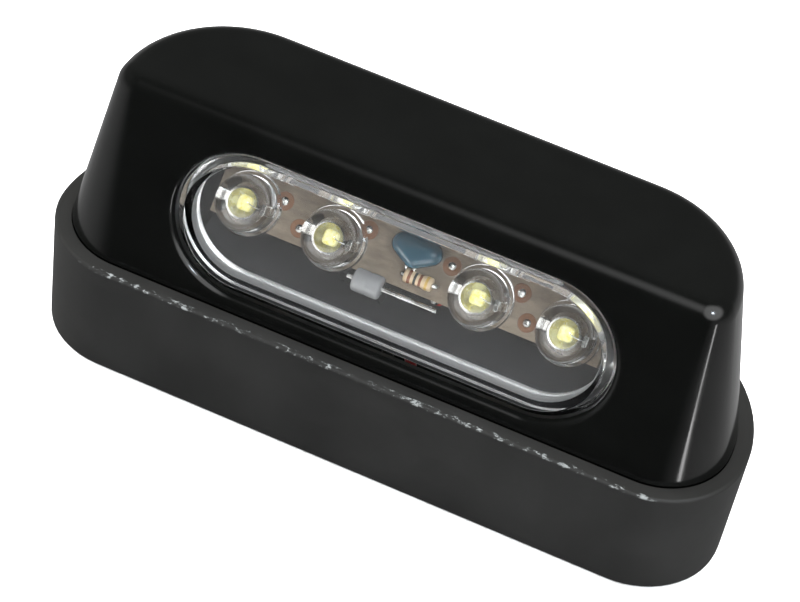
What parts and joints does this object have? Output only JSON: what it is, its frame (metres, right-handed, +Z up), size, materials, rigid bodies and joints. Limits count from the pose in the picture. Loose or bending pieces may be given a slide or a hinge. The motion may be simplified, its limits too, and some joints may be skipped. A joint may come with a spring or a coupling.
{
  "type": "number plate lamp",
  "caption": "Small black number plate lamp with a slanted clear window, a row of light-emitting diodes behind it and a soft base boot, fixed from below.",
  "frame": {"origin": "centre of the lamp's outline at the underside of the base boot", "axes": "+X along the lamp's length, the window faces -Y, +Z up from the underside to the roof"},
  "size_m": [0.062, 0.021, 0.028],
  "materials": {
    "boot_rubber": "matt, softly mottled moulded rubber",
    "hood_gloss": "polished black moulding",
    "lens_clear": "clear moulded plastic, bevelled edge",
    "seal_rubber": "black gasket",
    "plate_plastic": "black moulding, half gloss",
    "board_laminate": "beige paper laminate with brown pads",
    "light_clear": "clear cast resin",
    "light_metal": "tinned metal",
    "light_phosphor": "yellow phosphor",
    "dipped_blue": "glossy dipped coat",
    "resistor_body": "beige lacquer with bands",
    "diode_body": "grey moulding with a pale band",
    "lead_red": "red cover",
    "lead_black": "black cover",
    "gland_rubber": "soft black",
    "insert_brass": "machined",
    "screw_steel": "zinc plated"
  },
  "bodies": {
    "root": {"base_boot": "boot_rubber", "hood": "hood_gloss", "lens": "lens_clear", "lens_seal": "seal_rubber", "base_plate": "plate_plastic", "circuit_board": "board_laminate", "light_body_1": "light_clear", "light_body_2": "light_clear", "light_body_3": "light_clear", "light_body_4": "light_clear", "light_frame_1": "light_metal", "light_frame_2": "light_metal", "light_frame_3": "light_metal", "light_frame_4": "light_metal", "light_chip_1": "light_phosphor", "light_chip_2": "light_phosphor", "light_chip_3": "light_phosphor", "light_chip_4": "light_phosphor", "suppressor": "dipped_blue", "front_resistor": "resistor_body", "back_resistor": "resistor_body", "diode": "diode_body", "red_lead": "lead_red", "black_lead": "lead_black", "cable_gland": "gland_rubber", "thread_insert_left": "insert_brass", "thread_insert_right": "insert_brass", "plate_screw_left": "screw_steel", "plate_screw_right": "screw_steel"}
  },
  "joints": []
}
